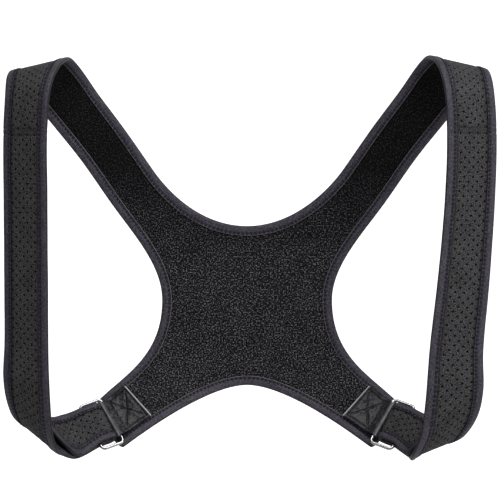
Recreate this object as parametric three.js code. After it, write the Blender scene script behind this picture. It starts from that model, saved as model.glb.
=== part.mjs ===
// An upper-back posture corrector in its worn form, in millimetres, +Z up.
// An X-shaped back pad of perforated foam with a brushed lining has two arms that run over the shoulders.
// A strap is sewn to the end of each arm, hangs down the chest, turns back under the armpit, passes round a
// metal ring on the pad's lower arm and folds back on itself. A folded tape binds every edge.
// The origin lies midway between the two places where the arms sit on the shoulders. +Y is the wearer's back.
import * as THREE from "three";
import { mergeVertices } from "three/addons/utils/BufferGeometryUtils.js";

// Worn form
const HALF_SPAN = 233; // centre line to the outer edge of a chest strap
const HEIGHT = 384; // shoulder to the lowest point of the straps
const DEPTH = 150; // back pad to the chest straps
const NECK_DROP = 161; // shoulder to the lowest point of the neckline
const WAIST_DROP = 234; // shoulder to the narrowest place of the pad
const ARCH_DROP = 318.5; // shoulder to the top of the bottom arch
const WAIST_HALF = 84; // half of the pad's narrowest width

// Sheets and tapes
const STRAP_WIDTH = 50;
const SHELL = 2.2; // perforated foam
const LINING = 1.1; // brushed lining
const TAPE = 0.8; // binding tape
const BINDING = 8.5; // visible width of the folded binding tape
const GAP = 0.3; // clearance between pieces that touch
const EDGE_SQUEEZE = 0.55; // share of the thickness left at a bound edge
const HEM_SQUEEZE = 0.75; // share left under the binding's hem stitch

// Ring and tab
const WIRE = 3.2;
const WIRE_SIDES = 8;
const RING_CLEAR = 2.3; // free space beside the strap, on each side
const RING_PITCH = 23.2; // between the centres of the ring's two long bars
const RING_STRAP = 42; // the strap's width where the ring draws it in
const RING_CORNER = 4; // bend radius at the middle of the wire
const TAB_WIDTH = 42;
const TAB_LENGTH = 33; // sewn part, from the bar
const LEATHER = 1.1;
const BAR_SETBACK = 3; // the tab's bar lies this far inside the lower arm's end

// Free end of the strap
const LOOP = 7.5; // the strap's loose loop reaches this far past the ring's bar, towards the tab
const SETTLE = 22; // the folded-back ply lies flat, and at its full width, this far from the bar
const TIP_ROUND = 20; // corner radius
const TIP_LIFT = 2.5; // how far the tip stands off the strap under it

// How the sides differ. rise and sink are shares of HEIGHT: how far up the shoulder sits and how far down the
// strap's foot. out and lean are shares of HALF_SPAN: how far out the shoulder sits and how far in the foot.
// turn and footTurn are the degrees that the strap faces outwards at its top and at its foot, and slope the
// degrees added to the bearing of its foot. fold is the length of the folded-back end, from the ring's bar,
// as a share of STRAP_WIDTH.
const SIDES = {
  left: {
    sign: -1, rise: 0, sink: -0.0104, out: 0, lean: 0,
    turn: 34, footTurn: 34, slope: 0, fold: 1.14,
  },
  right: {
    sign: 1, rise: 0.0104, sink: 0.0182, out: 0.0129, lean: 0.0858,
    turn: 22, footTurn: 0, slope: -20, fold: 0.84,
  },
};

// Sections of the arm and strap, from the pad over the shoulder to the ring. Each is a straight line across
// the strip: its centre as shares of HALF_SPAN, DEPTH (0 at the pad, 1 at the chest) and HEIGHT, the angles
// of the line to its outer end in the front view (up is positive) and out of it (backwards is positive), and
// its length as a share of STRAP_WIDTH. turn is a share of the side's own turn, and foot blends from the
// side's shoulder to the foot of its strap.
const SECTIONS = [
  ["arm start", 0.494, 0.08, 0.31, -35, -5, 1.02, 0, 0],
  ["arm middle", 0.614, 0.147, 0.203, -36, -7, 1.02, 0, 0],
  ["arm high", 0.725, 0.223, 0.113, -36, -10, 1.05, 0, 0],
  ["shoulder back", 0.797, 0.287, 0.053, -30, -10, 1.1, 0, 0],
  ["shoulder rise", 0.84, 0.4, 0.015, -20, -4, 1.09, 0, 0],
  ["crest", 0.86, 0.567, 0.006, -13, 5, 1.07, 0, 0],
  ["shoulder fall", 0.876, 0.747, 0.024, -11, 8, 1.05, 0.3, 0],
  ["shoulder front", 0.89, 0.85, 0.07, -8, 6, 1.03, 0.75, 0],
  ["seam", 0.9, 0.883, 0.17, 0, 0, 1, 1, 0],
  ["chest", 0.9, 0.887, 0.32, 0, 0, 1, 1, 0.05],
  ["chest low", 0.899, 0.887, 0.52, 0, 0, 1, 1, 0.28],
  ["ribs", 0.899, 0.887, 0.7, 5, 0, 1.01, 1, 0.58],
  ["turn start", 0.899, 0.88, 0.815, 25, 0, 1.1, 0.8, 0.66],
  ["turn front", 0.89, 0.807, 0.888, 32, 14, 1.15, 0.4, 0.76],
  ["turn low", 0.868, 0.68, 0.938, 34, 28, 1.1, 0, 0.95],
  ["turn back", 0.828, 0.53, 0.954, 42, 38, 1.03, 0, 0.85],
  ["side", 0.76, 0.37, 0.96, 53, 34, 0.94, 0, 0.3],
].map(([at, out, fore, down, bearing, back, wide, turn, foot]) => {
  return { at, out, fore, down, bearing, back, wide, turn, foot };
});

const v = (x, y, z) => new THREE.Vector3(x, y, z);
const mix = (a, b, share) => a.clone().lerp(b, share);
const degrees = THREE.MathUtils.degToRad;
const blend = THREE.MathUtils.lerp;
const span = (from, to, steps) =>
  Array.from({ length: steps + 1 }, (_, i) => blend(from, to, i / steps));
const padDepth = DEPTH / 2;

// A strip between an inner and an outer edge curve. c runs from 0 at the inner edge to 1 at the outer edge,
// and outward is +1 or -1, so that the normal points away from the wearer.
class Strip {
  constructor(inner, outer, outward) {
    Object.assign(this, { inner, outer, outward });
  }
  point(t, c) {
    return mix(this.inner(t), this.outer(t), c);
  }
  along(t, c) {
    const step = 1e-3;
    return this.point(t + step, c).sub(this.point(Math.max(t - step, 0), c)).normalize();
  }
  normal(t, c) {
    const across = this.outer(t).sub(this.inner(t));
    return this.along(t, c).cross(across).multiplyScalar(this.outward).normalize();
  }
  width(t) {
    return this.outer(t).distanceTo(this.inner(t));
  }
}

// The pad's four corner points between its arms
const padPoint = (x, drop) => v(x, padDepth, -drop);
const neckPoint = padPoint(0, NECK_DROP);
const archPoint = padPoint(0, ARCH_DROP);
const waistPoint = (side) => padPoint(side.sign * WAIST_HALF, WAIST_DROP);

// The two ends of a section's line
function sectionEnds(row, side) {
  const turned = degrees(row.back + row.turn * blend(side.turn, side.footTurn, row.foot));
  const bearing = degrees(row.bearing + blend(0, side.slope, row.foot));
  const half = (row.wide * STRAP_WIDTH) / 2;
  const centre = v(
    side.sign * (row.out + blend(side.out, -side.lean, row.foot)) * HALF_SPAN,
    (0.5 - row.fore) * DEPTH,
    (blend(side.rise, -side.sink, row.foot) - row.down) * HEIGHT,
  );
  const reach = v(
    side.sign * Math.cos(bearing) * Math.cos(turned),
    Math.sin(turned),
    Math.sin(bearing) * Math.cos(turned),
  ).multiplyScalar(half);
  return { inner: centre.clone().sub(reach), outer: centre.clone().add(reach) };
}

// Flares from the pad to an arm: start point, direction and handle, then those of the end. The handles are
// shares of HALF_SPAN.
function flare(start, startWay, startHandle, end, endWay, endHandle) {
  return new THREE.CubicBezierCurve3(
    start,
    start.clone().addScaledVector(startWay, startHandle * HALF_SPAN),
    end.clone().addScaledVector(endWay, -endHandle * HALF_SPAN),
    end,
  );
}

// Lower arm, from the pad to the ring. Its end is a section too.
const LOWER_END = {
  out: 0.582, fore: 0.2, down: 0.925,
  bearing: 57, back: 32, wide: 1.13, turn: 0, foot: 1,
};
const LOWER_WAY = { upper: v(0.68, -0.28, -0.68), lower: v(0.78, -0.3, -0.55) };
const HANDLES = {
  neck: 0.193, neckEnd: 0.129, waistUp: 0.155, armUp: 0.172,
  arch: 0.146, archEnd: 0.197, waistDown: 0.249, armDown: 0.155,
};

function lowerArm(side) {
  const down = v(0, 0, -1);
  const out = v(side.sign, 0, 0);
  const mirrored = (way) => v(side.sign * way.x, way.y, way.z).normalize();
  const ends = sectionEnds(LOWER_END, { ...side, sink: 0, lean: 0, slope: 0 });
  const [lower, upper] = [mirrored(LOWER_WAY.lower), mirrored(LOWER_WAY.upper)];
  const arch = flare(archPoint, out, HANDLES.arch, ends.inner, lower, HANDLES.archEnd);
  const waist = flare(waistPoint(side), down, HANDLES.waistDown, ends.outer, upper, HANDLES.armDown);
  return new Strip((t) => arch.getPoint(Math.min(t, 1)), (t) => waist.getPoint(Math.min(t, 1)), -side.sign);
}

const TAB_HEIGHT = LINING + TAPE + 2 * GAP + LEATHER / 2; // middle of the tab's lower ply, inside the pad
const TAB_BEND = WIRE / 2 + 2 * GAP + LEATHER / 2; // middle of the tab round the ring's bar

// The ring's frame: middle of each long bar, bar direction towards the upper edge, pull direction and normal
function ringFrame(side, arm) {
  const endMiddle = arm.point(1, 0.5);
  const normal = arm.normal(1, 0.5);
  const bar = arm.outer(1).sub(arm.inner(1)).normalize();
  const nearBar = endMiddle.addScaledVector(arm.along(1, 0.5), -BAR_SETBACK);
  nearBar.addScaledVector(normal, -TAB_HEIGHT - TAB_BEND);
  const lastSection = sectionEnds(SECTIONS.at(-1), side);
  const pull = mix(lastSection.inner, lastSection.outer, 0.5).sub(nearBar);
  pull.addScaledVector(bar, -pull.dot(bar)).normalize();
  const farBar = nearBar.clone().addScaledVector(pull, RING_PITCH);
  const facing = pull.clone().cross(bar).multiplyScalar(-side.sign);
  return { nearBar, farBar, bar, pull, facing };
}

const EDGE_HALF = ((SHELL + LINING) * HEM_SQUEEZE) / 2 + GAP + TAPE; // half thickness of a bound edge
const BEND = WIRE / 2 + GAP + EDGE_HALF; // middle of the strap round the ring's bar

// Arm and strap as one strip: t from 0 to 1 is the flare, then one unit for each section up to the ring
function upperStrip(side, ring) {
  const ends = SECTIONS.map((row) => sectionEnds(row, side));
  const top = ring.farBar.clone().addScaledVector(ring.facing, BEND);
  const reach = ring.bar.clone().multiplyScalar(RING_STRAP / 2);
  ends.push({ inner: top.clone().sub(reach), outer: top.clone().add(reach) });
  const edge = (name, start, startWay, startHandle, endHandle) => {
    const path = new THREE.CatmullRomCurve3(ends.map((end) => end[name]), false, "centripetal");
    const way = ends[1][name].clone().sub(ends[0][name]).normalize();
    const root = flare(start, startWay, startHandle, ends[0][name], way, endHandle);
    const last = ends.length - 1;
    return (t) => (t < 1 ? root.getPoint(t) : path.getPoint(Math.min((t - 1) / last, 1)));
  };
  const inner = edge("inner", neckPoint, v(side.sign, 0, 0), HANDLES.neck, HANDLES.neckEnd);
  const outer = edge("outer", waistPoint(side), v(0, 0, 1), HANDLES.waistUp, HANDLES.armUp);
  return new Strip(inner, outer, side.sign);
}

const sectionAt = (name) => 1 + SECTIONS.findIndex((row) => row.at === name);
const SEAM = sectionAt("seam");
const RING_END = SECTIONS.length + 1;

// Rows of a strip between two sections. The shoulder and the turn under the armpit bend most.
const STATIONS = { flare: 7, lowerArm: 13, bend: 4, straight: 2, ringTurn: 5, tip: 5 };
function stations(from, to) {
  const bends = (t) => (t >= sectionAt("arm high") && t < SEAM - 1) || t >= sectionAt("turn start") - 1;
  const list = from === 0 ? span(0, 1, STATIONS.flare) : [from];
  for (let t = Math.floor(list.at(-1)); t < to; t += 1) {
    const steps = bends(t) ? STATIONS.bend : STATIONS.straight;
    list.push(...span(t, t + 1, steps).filter((x) => x > list.at(-1) + 0.05 && x <= to));
  }
  return list;
}

// The place on a strip that lies a distance along its middle from t, forwards or backwards
function advance(strip, t, distance) {
  const step = 0.01 * Math.sign(distance);
  let left = Math.abs(distance);
  let here = strip.point(t, 0.5);
  while (left > 0) {
    const next = strip.point(t + step, 0.5);
    const length = next.distanceTo(here);
    t += step * Math.min(1, left / length);
    left -= length;
    here = next;
  }
  return t;
}

// One place on a sheet: its middle, its normal and the share of the thickness left there
const place = (point, normal, squeeze = 1) => ({ point, normal, squeeze });
const COLUMN_SQUEEZE = [EDGE_SQUEEZE, HEM_SQUEEZE, 1, HEM_SQUEEZE, EDGE_SQUEEZE];

// A row across a strip: bound edge, hem, middle, hem, bound edge. The hems lie a binding's width from the
// edges, however obliquely the row meets them.
function rowOf(strip, t) {
  const width = strip.width(t);
  const across = strip.outer(t).sub(strip.inner(t)).normalize();
  const hem = (c) => BINDING / width / strip.along(t, c).cross(across).length();
  const at = [0, hem(0), 0.5, 1 - hem(1), 1];
  const normal = (c) => (t === 0 ? v(0, 1, 0) : strip.normal(t, c));
  return at.map((c, j) => place(strip.point(t, c), normal(c), COLUMN_SQUEEZE[j]));
}

// A geometry from loose triangles, with its doubled vertices merged and its faces turned outwards
function closed(positions) {
  let volume = 0;
  for (let i = 0; i < positions.length; i += 9) {
    const [a, b, c] = [0, 3, 6].map((k) => v(...positions.slice(i + k, i + k + 3)));
    volume += a.dot(b.cross(c));
  }
  const order = volume < 0 ? [0, 6, 3] : [0, 3, 6];
  const turned = [];
  for (let i = 0; i < positions.length; i += 9) {
    for (const k of order) turned.push(...positions.slice(i + k, i + k + 3));
  }
  const geometry = new THREE.BufferGeometry();
  geometry.setAttribute("position", new THREE.Float32BufferAttribute(turned, 3));
  const merged = mergeVertices(geometry, 1e-4);
  merged.computeVertexNormals();
  return merged;
}

// A closed solid from grids of paired points, front and back. Grids that share points are joined there, and a
// wall joins front and back wherever the sheet ends.
function sheetSolid(grids) {
  const index = new Map();
  const pairs = [];
  const vertex = (pair) => {
    const key = pair.front.toArray().map((x) => x.toFixed(3)).join();
    if (!index.has(key)) index.set(key, pairs.push(pair) - 1);
    return index.get(key);
  };
  const positions = [];
  const put = (...points) => points.forEach((point) => positions.push(...point.toArray()));
  const edges = new Map();
  const face = (...ids) => {
    if (new Set(ids).size < 3) return;
    const [a, b, c] = ids.map((id) => pairs[id]);
    put(a.front, b.front, c.front);
    put(c.back, b.back, a.back);
    ids.forEach((from, k) => edges.set(`${from},${ids[(k + 1) % 3]}`, [from, ids[(k + 1) % 3]]));
  };
  for (const { rows, flip } of grids) {
    const ids = rows.map((row) => row.map(vertex));
    for (let i = 0; i + 1 < ids.length; i += 1) {
      for (let j = 0; j + 1 < ids[i].length; j += 1) {
        const quad = [ids[i][j], ids[i + 1][j], ids[i + 1][j + 1], ids[i][j + 1]];
        const [a, b, c, d] = flip ? quad.reverse() : quad;
        face(a, b, c);
        face(a, c, d);
      }
    }
  }
  for (const [from, to] of edges.values()) {
    if (edges.has(`${to},${from}`)) continue;
    const [p, q] = [pairs[from], pairs[to]];
    put(q.front, p.front, p.back);
    put(q.front, p.back, q.back);
  }
  return closed(positions);
}

// Rows of places, given thickness from one height to another
const thicken = (rows, low, high) =>
  rows.map((row) =>
    row.map(({ point, normal, squeeze }) => ({
      front: point.clone().addScaledVector(normal, high(squeeze)),
      back: point.clone().addScaledVector(normal, low(squeeze)),
    })),
  );
const shellOf = (rows) => thicken(rows, () => GAP / 2, (share) => SHELL * share);
const liningOf = (rows) => thicken(rows, (share) => -LINING * share, () => -GAP / 2);
const bothOf = (rows) => thicken(rows, (share) => -LINING * share, (share) => SHELL * share);

// The tape folded over an edge. The trail gives an edge and a hem place for each row.
function binding(trail) {
  const rows = trail.map(({ edge, hem }) => {
    const beyond = edge.point.clone().sub(hem.point).normalize();
    const at = (spot, height, out) =>
      spot.point.clone().addScaledVector(spot.normal, height).addScaledVector(beyond, out);
    const skin = (lift) => [
      at(hem, SHELL * hem.squeeze + lift, 0),
      at(edge, SHELL * edge.squeeze + lift, lift),
      at(edge, -LINING * edge.squeeze - lift, lift),
      at(hem, -LINING * hem.squeeze - lift, 0),
    ];
    const inside = skin(GAP);
    return skin(GAP + TAPE).map((front, j) => ({ front, back: inside[j] }));
  });
  return sheetSolid([{ rows, flip: false }]);
}
const innerTrail = (rows) => rows.map((row) => ({ edge: row[0], hem: row[1] }));
const outerTrail = (rows) => rows.map((row) => ({ edge: row.at(-1), hem: row.at(-2) }));

// The strap's rows beyond the last section: a loose loop round the ring's bar, and back along its own inside
// to the round tip. FLAT_LIFT lies between the middles of two plies that touch.
const FLAT_LIFT = 2 * (LINING * HEM_SQUEEZE + GAP + TAPE) + GAP;
function ringTurn({ farBar, bar, pull, facing }) {
  return span(0, Math.PI, STATIONS.ringTurn).map((angle) => {
    const normal = facing.clone().multiplyScalar(Math.cos(angle)).addScaledVector(pull, -Math.sin(angle));
    const middle = farBar.clone().addScaledVector(pull, -LOOP).addScaledVector(normal, BEND);
    const half = RING_STRAP / 2;
    return [-half, BINDING - half, 0, half - BINDING, half].map((reach, j) =>
      place(middle.clone().addScaledVector(bar, reach), normal.clone(), COLUMN_SQUEEZE[j]));
  });
}

function foldedBack(side, strip) {
  const fold = side.fold * STRAP_WIDTH;
  const spot = (distance, sideways, squeeze) => {
    const t = advance(strip, RING_END, -Math.max(distance, 0.1));
    const c = 0.5 + sideways / strip.width(t);
    const normal = strip.normal(t, c).negate();
    const settling = (2 * BEND - FLAT_LIFT) * Math.max(0, 1 - distance / SETTLE) ** 2;
    const lift = FLAT_LIFT + settling + TIP_LIFT * (distance / fold) ** 2;
    return place(strip.point(t, c).addScaledVector(normal, lift), normal, squeeze);
  };
  const half = STRAP_WIDTH / 2;
  const straightEnd = fold - TIP_ROUND;
  const straight = span(0, straightEnd, 4).map((d) => {
    const edge = blend(RING_STRAP, STRAP_WIDTH, Math.min(1, d / SETTLE)) / 2;
    const columns = [-edge, BINDING - edge, 0, edge - BINDING, edge];
    return columns.map((aside, j) => spot(d, aside, COLUMN_SQUEEZE[j]));
  });
  const tipRow = (edgeOut, edgeSide, hemOut, hemSide) => [
    spot(straightEnd + edgeOut, -edgeSide, EDGE_SQUEEZE),
    spot(straightEnd + hemOut, -hemSide, HEM_SQUEEZE),
    spot(straightEnd + hemOut, 0, HEM_SQUEEZE),
    spot(straightEnd + hemOut, hemSide, HEM_SQUEEZE),
    spot(straightEnd + edgeOut, edgeSide, EDGE_SQUEEZE),
  ];
  const hemRound = TIP_ROUND - BINDING;
  const tip = span(0, Math.PI / 2, STATIONS.tip).slice(1).map((angle) => {
    const [out, aside] = [Math.sin(angle), half - TIP_ROUND];
    const cosine = Math.cos(angle);
    return tipRow(TIP_ROUND * out, aside + TIP_ROUND * cosine, hemRound * out, aside + hemRound * cosine);
  });
  tip.push(tipRow(TIP_ROUND, 0, hemRound, 0));
  return [...straight, ...tip];
}

// A closed ring of round wire along a rounded rectangle
function wireRing({ nearBar, farBar, bar, facing }) {
  const middle = mix(nearBar, farBar, 0.5);
  const pull = farBar.clone().sub(nearBar).normalize();
  const long = RING_STRAP / 2 + TAPE + GAP + RING_CLEAR + WIRE / 2;
  const short = RING_PITCH / 2;
  const loop = [];
  for (const [x, y, start] of [[1, 1, 0], [-1, 1, 1], [-1, -1, 2], [1, -1, 3]]) {
    for (const angle of span(0, Math.PI / 2, 3)) {
      const turn = angle + (start * Math.PI) / 2;
      const out = v(Math.cos(turn), Math.sin(turn), 0);
      const centre = v(x * (long - RING_CORNER), y * (short - RING_CORNER), 0);
      loop.push({ centre: centre.addScaledVector(out, RING_CORNER), out });
    }
  }
  const world = (p) =>
    middle.clone().addScaledVector(bar, p.x).addScaledVector(pull, p.y).addScaledVector(facing, p.z);
  const rings = loop.map(({ centre, out }) =>
    span(0, 2 * Math.PI, WIRE_SIDES).slice(1).map((angle) => {
      const spot = centre.clone().addScaledVector(out, (WIRE / 2) * Math.cos(angle));
      return world(spot.setZ((WIRE / 2) * Math.sin(angle)));
    }));
  const positions = [];
  rings.forEach((here, i) => {
    const next = rings[(i + 1) % rings.length];
    here.forEach((a, k) => {
      const b = here[(k + 1) % here.length];
      const [c, d] = [next[(k + 1) % here.length], next[k]];
      positions.push(...[a, b, c, a, c, d].flatMap((point) => point.toArray()));
    });
  });
  return closed(positions);
}

// The leather tab: a ply on the lining, round the ring's near bar and back over itself
function leatherTab(arm, ring) {
  const inward = ring.facing.clone().negate();
  const ply = (distance, lift) => {
    const t = advance(arm, 1, -distance);
    const across = TAB_WIDTH / arm.width(t) / 2;
    return [-across, 0, across].map((c) =>
      place(arm.point(t, 0.5 + c).addScaledVector(arm.normal(t, 0.5 + c), -lift), arm.normal(t, 0.5 + c)));
  };
  const plies = span(TAB_LENGTH, BAR_SETBACK + 1.5 * WIRE, 4);
  const under = plies.map((distance) => ply(distance, TAB_HEIGHT));
  const rise = (distance) => Math.max(0, 1 - (distance - BAR_SETBACK) / (6 * WIRE)) ** 2;
  const over = plies.toReversed().map((distance) => {
    const lift = TAB_HEIGHT + LEATHER + GAP + (2 * TAB_BEND - LEATHER - GAP) * rise(distance);
    return ply(distance, lift).map((spot) => place(spot.point, spot.normal.negate()));
  });
  const round = span(0, Math.PI, STATIONS.ringTurn).map((angle) => {
    const normal = inward.clone().multiplyScalar(-Math.cos(angle));
    normal.addScaledVector(ring.pull, Math.sin(angle));
    const middle = ring.nearBar.clone().addScaledVector(normal, TAB_BEND);
    return [-0.5, 0, 0.5].map((c) => place(middle.clone().addScaledVector(ring.bar, c * TAB_WIDTH), normal));
  });
  const half = LEATHER / 2;
  const rows = thicken([...under, ...round, ...over], () => -half, () => half);
  return sheetSolid([{ rows, flip: false }]);
}

// Everything that both sides have
const sides = Object.entries(SIDES).map(([name, side]) => {
  const arm = lowerArm(side);
  const ring = ringFrame(side, arm);
  const strip = upperStrip(side, ring);
  const armRows = stations(0, SEAM).map((t) => rowOf(strip, t));
  const lowerRows = span(0, 1, STATIONS.lowerArm).map((t) => rowOf(arm, t));
  const strapRows = [
    ...stations(advance(strip, SEAM, GAP), RING_END - 0.01).map((t) => rowOf(strip, t)),
    ...ringTurn(ring),
    ...foldedBack(side, strip),
  ];
  return { name, side, arm, ring, armRows, lowerRows, strapRows };
});
const [left, right] = sides;

// The pad's middle, between the first rows of its four arms
function middleRows() {
  const [leftTop, rightTop] = [left.armRows[0], right.armRows[0]];
  const [leftLow, rightLow] = [left.lowerRows[0].toReversed(), right.lowerRows[0].toReversed()];
  const last = leftTop.length - 1;
  return leftTop.map((start, i) =>
    rightTop.map((top, j) => {
      if (i === 0) return top;
      if (j === 0) return start;
      if (i === last) return leftLow[j];
      if (j === last) return rightLow[i];
      const acrossOne = mix(start.point, rightLow[i].point, j / last);
      const acrossOther = mix(top.point, leftLow[j].point, i / last);
      return place(mix(acrossOne, acrossOther, 0.5), v(0, 1, 0));
    }),
  );
}

const MATERIALS = {
  shell: new THREE.MeshStandardMaterial({ color: 0x3a3a3c, roughness: 0.85, metalness: 0 }),
  lining: new THREE.MeshStandardMaterial({ color: 0x17171a, roughness: 1, metalness: 0 }),
  tape: new THREE.MeshStandardMaterial({ color: 0x3b3942, roughness: 0.7, metalness: 0 }),
  leather: new THREE.MeshStandardMaterial({ color: 0x222225, roughness: 0.45, metalness: 0 }),
  steel: new THREE.MeshStandardMaterial({ color: 0xc9c9cc, roughness: 0.2, metalness: 1 }),
};

const brace = new THREE.Group();
function add(name, geometry, material) {
  const mesh = new THREE.Mesh(geometry, material);
  mesh.name = name;
  brace.add(mesh);
}

const padGrids = (layerOf) => [
  { rows: layerOf(middleRows()), flip: true },
  ...sides.flatMap(({ side, armRows, lowerRows }) => [
    { rows: layerOf(armRows), flip: side.sign < 0 },
    { rows: layerOf(lowerRows), flip: side.sign > 0 },
  ]),
];
add("pad_shell", sheetSolid(padGrids(shellOf)), MATERIALS.shell);
add("pad_lining", sheetSolid(padGrids(liningOf)), MATERIALS.lining);

// The neckline and hem tapes run from one side to the other, and pass the pad's middle in one bend
const joined = (leftTrail, rightTrail) => [...leftTrail.toReversed(), ...rightTrail];
const neckline = joined(innerTrail(left.armRows), innerTrail(right.armRows));
add("neckline_binding", binding(neckline), MATERIALS.tape);
add("hem_binding", binding(joined(innerTrail(left.lowerRows), innerTrail(right.lowerRows))), MATERIALS.tape);

for (const { name, arm, ring, armRows, lowerRows, strapRows } of sides) {
  const armhole = joined(outerTrail(armRows), outerTrail(lowerRows));
  add(`armhole_binding_${name}`, binding(armhole), MATERIALS.tape);
  add(`strap_${name}`, sheetSolid([{ rows: bothOf(strapRows), flip: false }]), MATERIALS.shell);
  const round = joined(innerTrail(strapRows).toReversed(), outerTrail(strapRows).toReversed().slice(1));
  add(`strap_binding_${name}`, binding(round), MATERIALS.tape);
  add(`ring_${name}`, wireRing(ring), MATERIALS.steel);
  add(`ring_tab_${name}`, leatherTab(arm, ring), MATERIALS.leather);
}

export default brace;
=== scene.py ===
import math

import bmesh
import bpy
from mathutils import Matrix, Vector, noise
from mathutils.bvhtree import BVHTree
from mathutils.geometry import barycentric_transform, intersect_point_line
from mathutils.kdtree import KDTree


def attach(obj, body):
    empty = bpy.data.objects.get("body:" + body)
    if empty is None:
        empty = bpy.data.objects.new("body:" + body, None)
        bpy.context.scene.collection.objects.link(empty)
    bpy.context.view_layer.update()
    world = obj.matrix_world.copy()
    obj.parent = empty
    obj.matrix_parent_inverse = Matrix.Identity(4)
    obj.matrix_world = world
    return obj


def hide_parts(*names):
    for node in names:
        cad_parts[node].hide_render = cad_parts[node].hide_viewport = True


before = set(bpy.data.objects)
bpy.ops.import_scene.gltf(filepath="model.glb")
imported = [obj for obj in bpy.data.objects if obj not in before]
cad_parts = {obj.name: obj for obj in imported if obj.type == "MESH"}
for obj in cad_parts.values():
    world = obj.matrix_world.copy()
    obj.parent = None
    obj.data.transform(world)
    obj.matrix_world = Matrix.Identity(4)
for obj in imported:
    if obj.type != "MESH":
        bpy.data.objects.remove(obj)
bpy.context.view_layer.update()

# Studio
# The brace floats in its worn form in front of a pale sweep, under wide soft lights from above and the right.
# A long lens looks at it from just above level, as in the photograph.
MM = 0.001
AIM = Vector((0.0029, 0.0, -0.180))
ELEVATION = math.radians(3)
CAMERA_DISTANCE = 2.5
PIXELS_PER_RADIAN = 2575
FRAME_PIXELS = 500
SENSOR = 36

camera = bpy.data.objects.new("camera", bpy.data.cameras.new("camera"))
bpy.context.collection.objects.link(camera)
camera.data.sensor_width = SENSOR
camera.data.lens = PIXELS_PER_RADIAN / FRAME_PIXELS * SENSOR
camera.data.clip_end = 50
camera.location = AIM + CAMERA_DISTANCE * Vector((0, -math.cos(ELEVATION), math.sin(ELEVATION)))
camera.rotation_euler = (math.pi / 2 - ELEVATION, 0, 0)
bpy.context.scene.camera = camera
bpy.context.scene.view_settings.view_transform = "Standard"


class Socket:
    """A node's output that takes part in Python expressions."""

    def __init__(self, tree, output):
        self.tree = tree
        self.output = output

    def _math(self, operation, first, second):
        node = self.tree.nodes.new("ShaderNodeMath")
        node.operation = operation
        for socket, value in zip(node.inputs, (first, second)):
            if isinstance(value, Socket):
                self.tree.links.new(value.output, socket)
            else:
                socket.default_value = value
        return Socket(self.tree, node.outputs[0])

    def __add__(self, other):
        return self._math("ADD", self, other)

    def __sub__(self, other):
        return self._math("SUBTRACT", self, other)

    def __rsub__(self, other):
        return self._math("SUBTRACT", other, self)

    def __mul__(self, other):
        return self._math("MULTIPLY", self, other)

    def __rmul__(self, other):
        return self._math("MULTIPLY", other, self)

    def __truediv__(self, other):
        return self._math("DIVIDE", self, other)

    def __pow__(self, other):
        return self._math("POWER", self, other)

    def over(self, edge):
        return self._math("GREATER_THAN", self, edge)

    def at_most(self, limit):
        return self._math("MINIMUM", self, limit)

    def at_least(self, limit):
        return self._math("MAXIMUM", self, limit)

    def size(self):
        return self._math("ABSOLUTE", self, 0)

    def wave(self):
        return self._math("SINE", self, 0)


class Finish:
    """One material's nodes."""

    def __init__(self, name):
        self.material = bpy.data.materials.new(name)
        self.material.use_nodes = True
        self.tree = self.material.node_tree
        self.shader = self.tree.nodes["Principled BSDF"]

    def node(self, kind, settings=None, values=None, output=0):
        node = self.tree.nodes.new(kind)
        for name, value in (settings or {}).items():
            setattr(node, name, value)
        for name, value in (values or {}).items():
            self.put(node.inputs[name], value)
        return Socket(self.tree, node.outputs[output])

    def put(self, socket, value):
        if isinstance(value, Socket):
            self.tree.links.new(value.output, socket)
        else:
            socket.default_value = value

    def shade(self, **values):
        for name, value in values.items():
            self.put(self.shader.inputs[name.replace("_", " ")], value)

    def noise(self, place, scale, detail):
        values = {"Vector": place, "Scale": scale, "Detail": detail}
        return self.node("ShaderNodeTexNoise", values=values)

    def cut_map(self):
        return self.node("ShaderNodeUVMap", {"uv_map": "UVMap"})

    def own_place(self):
        return self.node("ShaderNodeTexCoord", output=3)

    def marked(self, name):
        return self.node("ShaderNodeAttribute", {"attribute_name": name}, output=2)

    def blend(self, share, first, second):
        return self.node("ShaderNodeMix", {"data_type": "RGBA"}, {0: share, 6: first, 7: second}, output=2)

    def bump(self, height, strength, distance):
        values = {"Strength": strength, "Distance": distance, "Height": height}
        self.shade(Normal=self.node("ShaderNodeBump", values=values))


def rgb(grey, tint=(1, 1, 1)):
    return (grey * tint[0], grey * tint[1], grey * tint[2], 1)


def select_where(obj, kind, wanted):
    """Selects the wanted faces or edges of a mesh in edit mode."""
    bpy.ops.mesh.select_all(action="DESELECT")
    mesh = bmesh.from_edit_mesh(obj.data)
    for part in getattr(mesh, kind):
        part.select_set(wanted(part))
    bmesh.update_edit_mesh(obj.data)


SWEEP_SIZE = 6
SWEEP_DROP = 1.0
SWEEP_BACK = 0.8
SWEEP_BEND = 1.2
GLOW_START = 0.6
GLOW_LENGTH = 0.8
bpy.ops.object.select_all(action="DESELECT")
bpy.ops.mesh.primitive_plane_add(size=SWEEP_SIZE, location=(0, SWEEP_BACK, -SWEEP_DROP))
sweep = bpy.context.object
sweep.name = "sweep"
bpy.ops.object.mode_set(mode="EDIT")
select_where(sweep, "edges", lambda edge: all(v.co.y > 0 for v in edge.verts))
bpy.ops.mesh.extrude_region_move(TRANSFORM_OT_translate={"value": (0, 0, SWEEP_SIZE / 2)})
select_where(sweep, "edges", lambda edge: all(v.co.y > 0 and v.co.z < 0.01 for v in edge.verts))
bpy.ops.mesh.bevel(offset=SWEEP_BEND, segments=16, profile=0.5)
bpy.ops.object.mode_set(mode="OBJECT")
bpy.ops.object.shade_smooth()
backdrop = Finish("backdrop")
spot = backdrop.own_place()
depth = backdrop.node("ShaderNodeSeparateXYZ", values={"Vector": spot}, output=1)
glow = ((depth - GLOW_START) / GLOW_LENGTH).at_least(0).at_most(1)
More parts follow.
